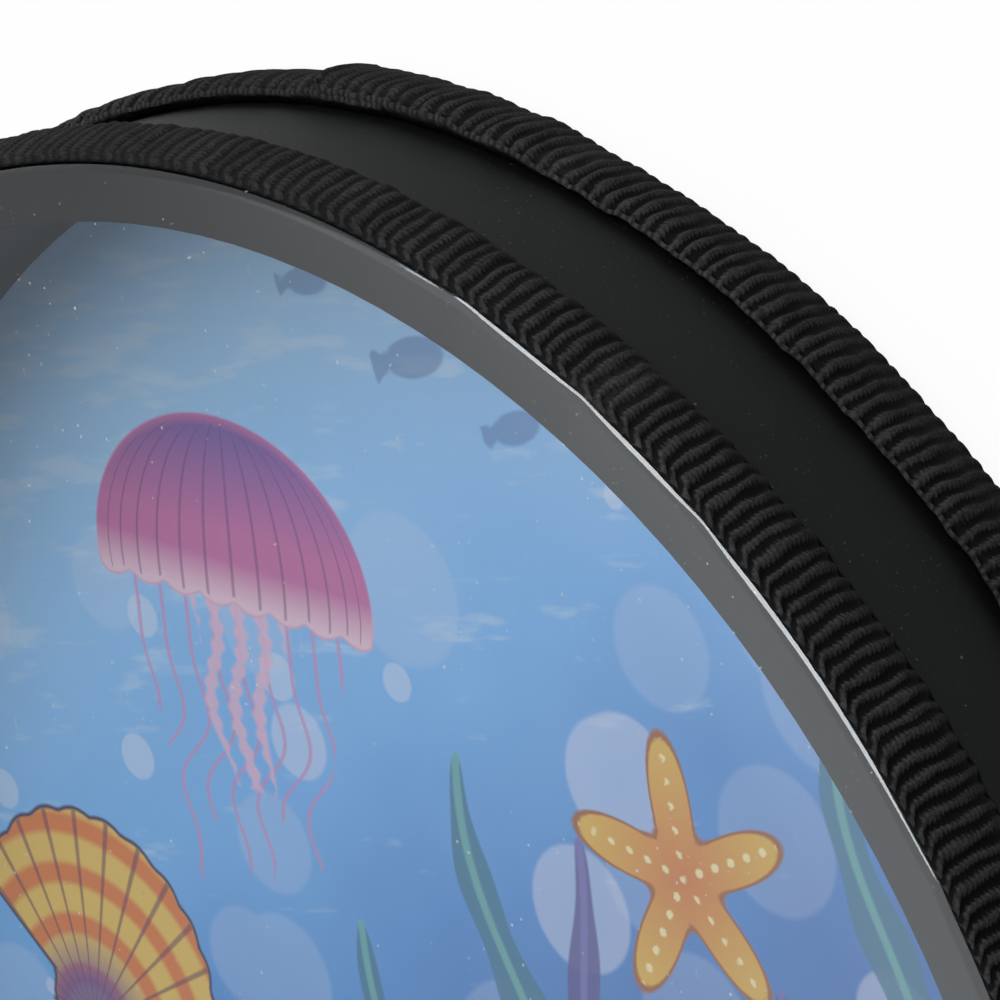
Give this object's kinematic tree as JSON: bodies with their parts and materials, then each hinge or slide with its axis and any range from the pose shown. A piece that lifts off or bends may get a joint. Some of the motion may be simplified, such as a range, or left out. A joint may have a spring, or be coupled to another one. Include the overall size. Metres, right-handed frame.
{
  "type": "ocean drum",
  "caption": "Round hand-held ocean drum: black hoop, clear front head, sea-print rear head, ribbed black ribbons round both edges, and loose steel beads that roll inside like surf.",
  "frame": {"origin": "centre of the rear head's outer face, on which the drum lies", "axes": "+Z along the drum's axis, out of the clear front head; +Y towards the top of the printed picture, and the beads lie at the -Y side at rest"},
  "size_m": [0.26, 0.26, 0.0382],
  "materials": {
    "black_lacquer": "satin black lacquer on a bent wooden hoop",
    "clear_film": "clear glossy polyester film",
    "printed_film": "white polyester film with a printed sea picture on its inner side",
    "black_webbing": "coarse ribbed woven webbing",
    "bead_steel": "polished steel shot"
  },
  "bodies": {
    "drum": {"hoop": "black_lacquer", "front_head": "clear_film", "rear_head": "printed_film", "front_ribbon": "black_webbing", "rear_ribbon": "black_webbing"},
    "bead_swirl": {"trailing_beads": "bead_steel"},
    "bead_band_1": {"bead_band_1": "bead_steel"},
    "bead_band_2": {"bead_band_2": "bead_steel"},
    "bead_band_3": {"bead_band_3": "bead_steel"},
    "bead_band_4": {"bead_band_4": "bead_steel"},
    "bead_band_5": {"bead_band_5": "bead_steel"},
    "bead_band_6": {"bead_band_6": "bead_steel"},
    "bead_band_7": {"bead_band_7": "bead_steel"},
    "bead_band_8": {"bead_band_8": "bead_steel"},
    "bead_band_9": {"bead_band_9": "bead_steel"}
  },
  "joints": [
    {"name": "bead_swirl_turn", "type": "hinge", "parent": "drum", "child": "bead_swirl", "pos_m": [0, 0, 0.00245], "axis": [0, 0, 1], "continuous": true},
    {"name": "bead_wash_1", "type": "slide", "parent": "bead_swirl", "child": "bead_band_1", "axis": [0, 1, 0], "range_m": [0, 0.1474]},
    {"name": "bead_wash_2", "type": "slide", "parent": "bead_swirl", "child": "bead_band_2", "axis": [0, 1, 0], "range_m": [0, 0.1707]},
    {"name": "bead_wash_3", "type": "slide", "parent": "bead_swirl", "child": "bead_band_3", "axis": [0, 1, 0], "range_m": [0, 0.1822]},
    {"name": "bead_wash_4", "type": "slide", "parent": "bead_swirl", "child": "bead_band_4", "axis": [0, 1, 0], "range_m": [0, 0.1864]},
    {"name": "bead_wash_5", "type": "slide", "parent": "bead_swirl", "child": "bead_band_5", "axis": [0, 1, 0], "range_m": [0, 0.1895]},
    {"name": "bead_wash_6", "type": "slide", "parent": "bead_swirl", "child": "bead_band_6", "axis": [0, 1, 0], "range_m": [0, 0.1864]},
    {"name": "bead_wash_7", "type": "slide", "parent": "bead_swirl", "child": "bead_band_7", "axis": [0, 1, 0], "range_m": [0, 0.1822]},
    {"name": "bead_wash_8", "type": "slide", "parent": "bead_swirl", "child": "bead_band_8", "axis": [0, 1, 0], "range_m": [0, 0.1707]},
    {"name": "bead_wash_9", "type": "slide", "parent": "bead_swirl", "child": "bead_band_9", "axis": [0, 1, 0], "range_m": [0, 0.1474]}
  ],
  "couplings": [
    {"joint": "bead_wash_1", "follows": "bead_wash_5", "ratio": 0.7775},
    {"joint": "bead_wash_2", "follows": "bead_wash_5", "ratio": 0.9005},
    {"joint": "bead_wash_3", "follows": "bead_wash_5", "ratio": 0.961},
    {"joint": "bead_wash_4", "follows": "bead_wash_5", "ratio": 0.9835},
    {"joint": "bead_wash_6", "follows": "bead_wash_5", "ratio": 0.9835},
    {"joint": "bead_wash_7", "follows": "bead_wash_5", "ratio": 0.961},
    {"joint": "bead_wash_8", "follows": "bead_wash_5", "ratio": 0.9005},
    {"joint": "bead_wash_9", "follows": "bead_wash_5", "ratio": 0.7775}
  ]
}
